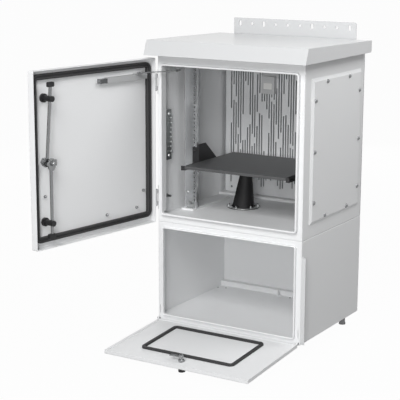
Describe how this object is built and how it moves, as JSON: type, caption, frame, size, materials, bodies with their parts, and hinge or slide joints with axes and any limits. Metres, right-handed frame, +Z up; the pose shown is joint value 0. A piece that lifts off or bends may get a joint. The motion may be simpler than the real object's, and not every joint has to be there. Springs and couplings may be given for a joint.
{
  "type": "outdoor equipment cabinet",
  "caption": "Two-compartment sheet-steel outdoor cabinet with an open rod-locked door, fold-down flap, rack rails, shelf, cable boot and rear fixing flange.",
  "frame": {"origin": "on the ground plane under the feet, below the middle of the cabinet's body", "axes": "+Z up, -Y out of the cabinet's front, +X to the right of a person who faces the front"},
  "size_m": [0.7669, 1.1024, 1.166],
  "materials": {
    "body_paint": "satin light grey powder coat",
    "roof_paint": "satin pale grey powder coat",
    "zinc": "bright zinc plating",
    "plate_zinc": "dull zinc plating",
    "rail_zinc": "bright smooth zinc plating",
    "zinc_dark": "dull passivated steel",
    "grey_plastic": "matte grey",
    "dark_paint": "dark grey powder coat",
    "black_plastic": "matte black",
    "rubber": "matte black rubber",
    "rod_zinc": "plain zinc plating",
    "black_paint": "black powder coat",
    "back_sheet": "light grey powder coat, dull on the inside",
    "white_plastic": "smooth white"
  },
  "bodies": {
    "cabinet": {"lower_body": "body_paint", "lower_back": "body_paint", "upper_body": "body_paint", "upper_back": "back_sheet", "roof_wedges": "body_paint", "side_cover": "body_paint", "rear_sill": "body_paint", "floor_angle": "body_paint", "control_box": "grey_plastic", "roof": "roof_paint", "rear_flange": "roof_paint", "side_strip": "roof_paint", "flange_bolts": "zinc", "earth_tab": "body_paint", "rail_channels": "body_paint", "left_rail": "rail_zinc", "right_rail": "rail_zinc", "rail_fixings": "zinc", "back_plate": "plate_zinc", "plate_standoffs": "zinc", "earth_bar": "zinc_dark", "earth_bar_posts": "zinc", "earth_bar_screws": "zinc_dark", "earth_stud": "zinc_dark", "boot_ring": "zinc", "boot_nuts": "zinc_dark", "hinge_body_leaves": "body_paint", "hinge_pins": "zinc_dark", "stay_bracket": "zinc_dark", "flap_lugs": "body_paint", "flap_pins": "zinc_dark", "side_cover_screws": "zinc_dark", "shelf": "dark_paint", "left_shelf_bracket": "black_paint", "right_shelf_bracket": "black_paint", "feet": "black_plastic", "cable_boot": "rubber", "control_window": "white_plastic"},
    "door": {"door_pan": "body_paint", "door_gasket": "rubber", "hinge_door_leaves": "body_paint", "rod_guides": "black_plastic", "lock_bush": "rod_zinc", "handle_base": "grey_plastic", "door_bolts": "rod_zinc", "stay_channel": "plate_zinc", "stay_block": "black_plastic"},
    "lock": {"lock_cam": "rod_zinc", "handle_lever": "grey_plastic"},
    "upper_rod": {"upper_rod": "rod_zinc", "upper_rod_shoe": "black_plastic"},
    "lower_rod": {"lower_rod": "rod_zinc", "lower_rod_shoe": "black_plastic"},
    "stay_arm": {"stay_arm": "zinc_dark"},
    "stay_slider": {"stay_slider": "zinc"},
    "flap": {"flap_panel": "body_paint", "flap_liner": "body_paint", "flap_gasket": "rubber"},
    "flap_lock": {"flap_lock": "rod_zinc", "flap_knob": "black_plastic"}
  },
  "joints": [
    {"name": "door_swing", "type": "hinge", "parent": "cabinet", "child": "door", "pos_m": [-0.304, -0.252, 0], "axis": [0, 0, 1], "range_deg": [0, 99]},
    {"name": "flap_swing", "type": "hinge", "parent": "cabinet", "child": "flap", "pos_m": [0, -0.254, 0.0637], "axis": [-1, 0, 0], "range_deg": [0, 93.5]},
    {"name": "lock_turn", "type": "hinge", "parent": "door", "child": "lock", "pos_m": [-0.41088, -0.77978, 0.736], "axis": [-0.9877, 0.1564, 0], "range_deg": [0, 90]},
    {"name": "upper_rod_slide", "type": "slide", "parent": "door", "child": "upper_rod", "axis": [0.0136, 0.0861, 0.9962], "range_m": [0, 0.02]},
    {"name": "lower_rod_slide", "type": "slide", "parent": "door", "child": "lower_rod", "axis": [0, 0, -1], "range_m": [0, 0.012]},
    {"name": "stay_arm_swing", "type": "hinge", "parent": "cabinet", "child": "stay_arm", "pos_m": [-0.235, -0.216, 0], "axis": [0, 0, 1], "range_deg": [0, 109.6]},
    {"name": "stay_slide", "type": "slide", "parent": "door", "child": "stay_slider", "axis": [-0.1564, -0.9877, 0], "range_m": [0, 0.12449]},
    {"name": "flap_lock_turn", "type": "hinge", "parent": "flap", "child": "flap_lock", "pos_m": [0.008, -0.57129, 0.04229], "axis": [0, -0.061, 0.9981], "range_deg": [0, 90]}
  ],
  "couplings": [
    {"joint": "upper_rod_slide", "follows": "lock_turn", "m_per_rad": 0.012732},
    {"joint": "lower_rod_slide", "follows": "lock_turn", "m_per_rad": 0.0076394},
    {"joint": "stay_arm_swing", "follows": "door_swing", "ratio": 1.1071},
    {"joint": "stay_slide", "follows": "door_swing", "m_per_rad": 0.072048}
  ]
}
